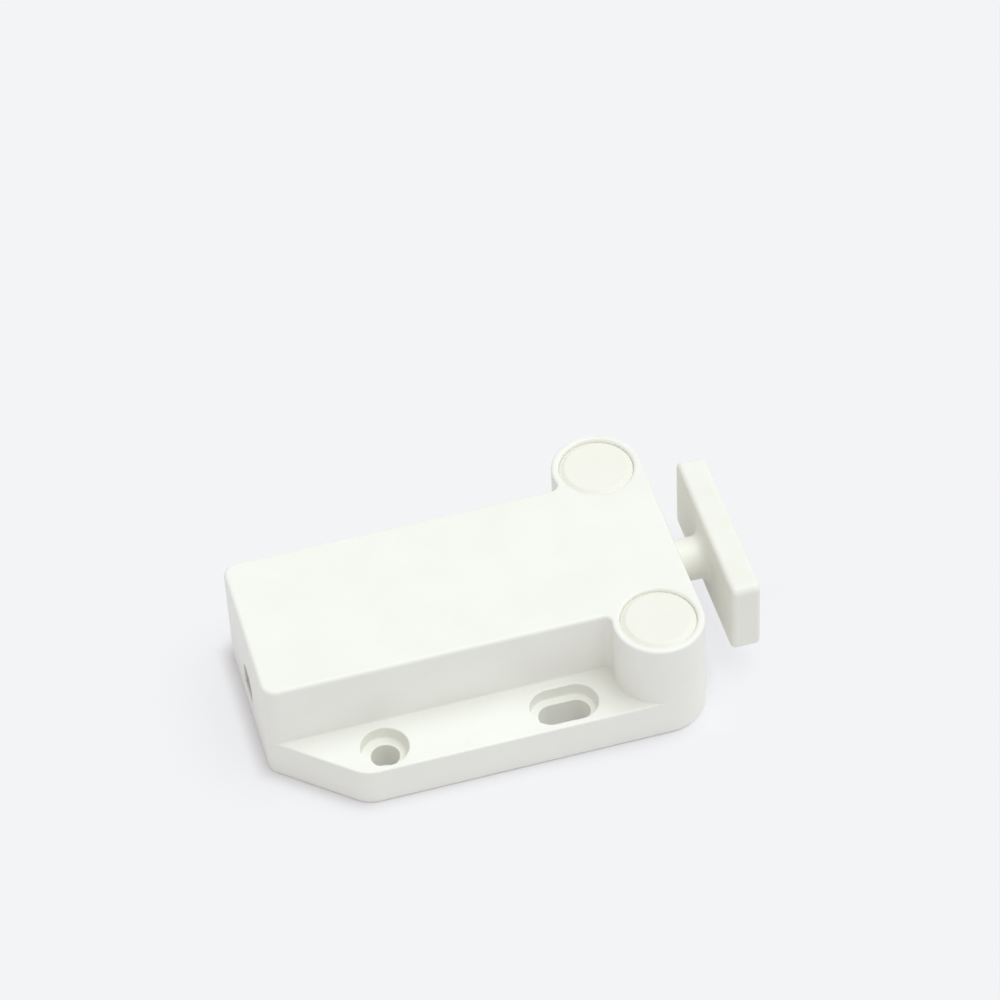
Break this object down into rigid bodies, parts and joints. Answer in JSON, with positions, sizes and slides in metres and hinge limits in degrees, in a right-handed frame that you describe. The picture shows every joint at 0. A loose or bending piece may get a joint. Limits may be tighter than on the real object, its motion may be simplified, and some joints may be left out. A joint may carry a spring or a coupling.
{
  "type": "touch latch",
  "caption": "White plastic push-to-open touch latch: block housing with screw flanges and capped front posts, and a sprung plunger with a cross-bar head.",
  "frame": {"origin": "on the mounting face, in the middle of the four mounting holes", "axes": "+X the way the plunger comes out, +Y its left side, +Z away from the mounting face"},
  "size_m": [0.0882, 0.0536, 0.0212],
  "materials": {
    "white_plastic": "moulded, soft satin",
    "cap_plastic": "moulded, matt",
    "slider_plastic": "moulded, smooth",
    "bright_steel": "bright zinc plate",
    "spring_steel": "drawn wire",
    "magnet_ferrite": "sintered, dull",
    "black_rubber": "matt"
  },
  "bodies": {
    "case": {"housing": "white_plastic", "base_plate": "white_plastic", "post_cap_left": "cap_plastic", "post_cap_right": "cap_plastic", "post_screw_left": "bright_steel", "post_screw_right": "bright_steel", "spring_rod_left": "bright_steel", "spring_rod_right": "bright_steel", "leaf_rivet": "bright_steel", "ejector_spring_left": "spring_steel", "ejector_spring_right": "spring_steel", "cam_follower": "spring_steel", "leaf_spring": "spring_steel", "front_buffer": "black_rubber"},
    "plunger": {"t_head": "white_plastic", "magnet": "magnet_ferrite", "pole_plate_upper": "bright_steel", "pole_plate_lower": "bright_steel", "slider": "slider_plastic", "stem_pin": "bright_steel"}
  },
  "joints": [
    {"name": "plunger_slide", "type": "slide", "parent": "case", "child": "plunger", "axis": [1, 0, 0], "range_m": [-0.003, 0.02], "deforming": ["ejector_spring_left", "ejector_spring_right", "cam_follower"]}
  ]
}
